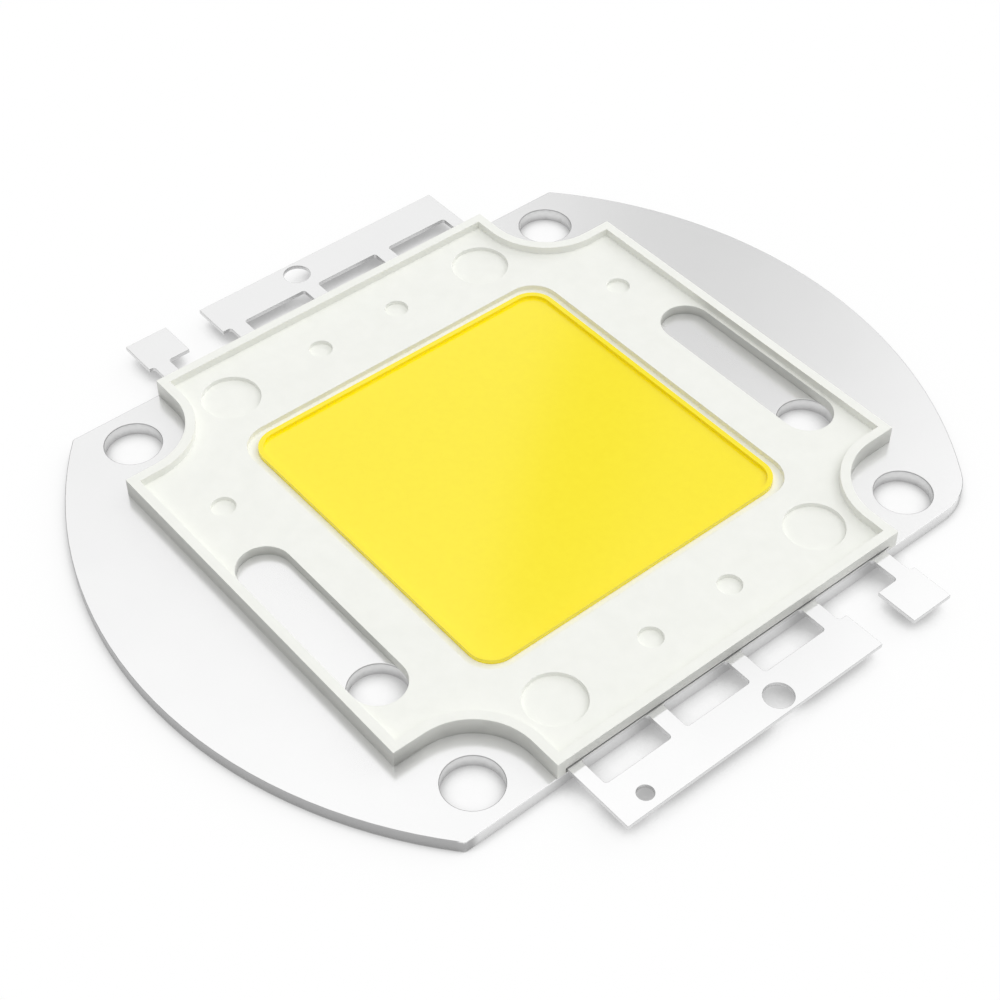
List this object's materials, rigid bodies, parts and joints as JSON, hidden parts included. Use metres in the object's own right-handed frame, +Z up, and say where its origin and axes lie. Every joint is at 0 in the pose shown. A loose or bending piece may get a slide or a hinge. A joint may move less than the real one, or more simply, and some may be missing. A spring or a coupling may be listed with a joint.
{
  "type": "high-power led module",
  "caption": "Flat square light-emitting module: metal base plate with rounded ends and screw holes, white moulded frame, yellow light field, flat lead tabs on two sides.",
  "frame": {"origin": "centre of the base plate's underside", "axes": "+Z up out of the light field, normal to the plate; +X towards the positive lead, which has the small polarity hole; Y along the plate's length, between its two arcs"},
  "size_m": [0.05, 0.0555, 0.0022],
  "materials": {
    "nickel_plate": "satin nickel plating on copper",
    "white_plastic": "moulded, matt",
    "film": "thin polyimide film",
    "lead_metal": "silver-plated copper strip",
    "phosphor": "yellow phosphor in silicone",
    "die": "polished sapphire",
    "gold": "gold wire"
  },
  "bodies": {
    "root": {"base_plate": "nickel_plate", "frame": "white_plastic", "insulating_films": "film", "positive_lead": "lead_metal", "negative_lead": "lead_metal", "phosphor_fill": "phosphor", "die_string_01": "die", "die_string_02": "die", "die_string_03": "die", "die_string_04": "die", "die_string_05": "die", "die_string_06": "die", "die_string_07": "die", "die_string_08": "die", "die_string_09": "die", "die_string_10": "die", "wire_string_01": "gold", "wire_string_02": "gold", "wire_string_03": "gold", "wire_string_04": "gold", "wire_string_05": "gold", "wire_string_06": "gold", "wire_string_07": "gold", "wire_string_08": "gold", "wire_string_09": "gold", "wire_string_10": "gold"}
  },
  "joints": []
}
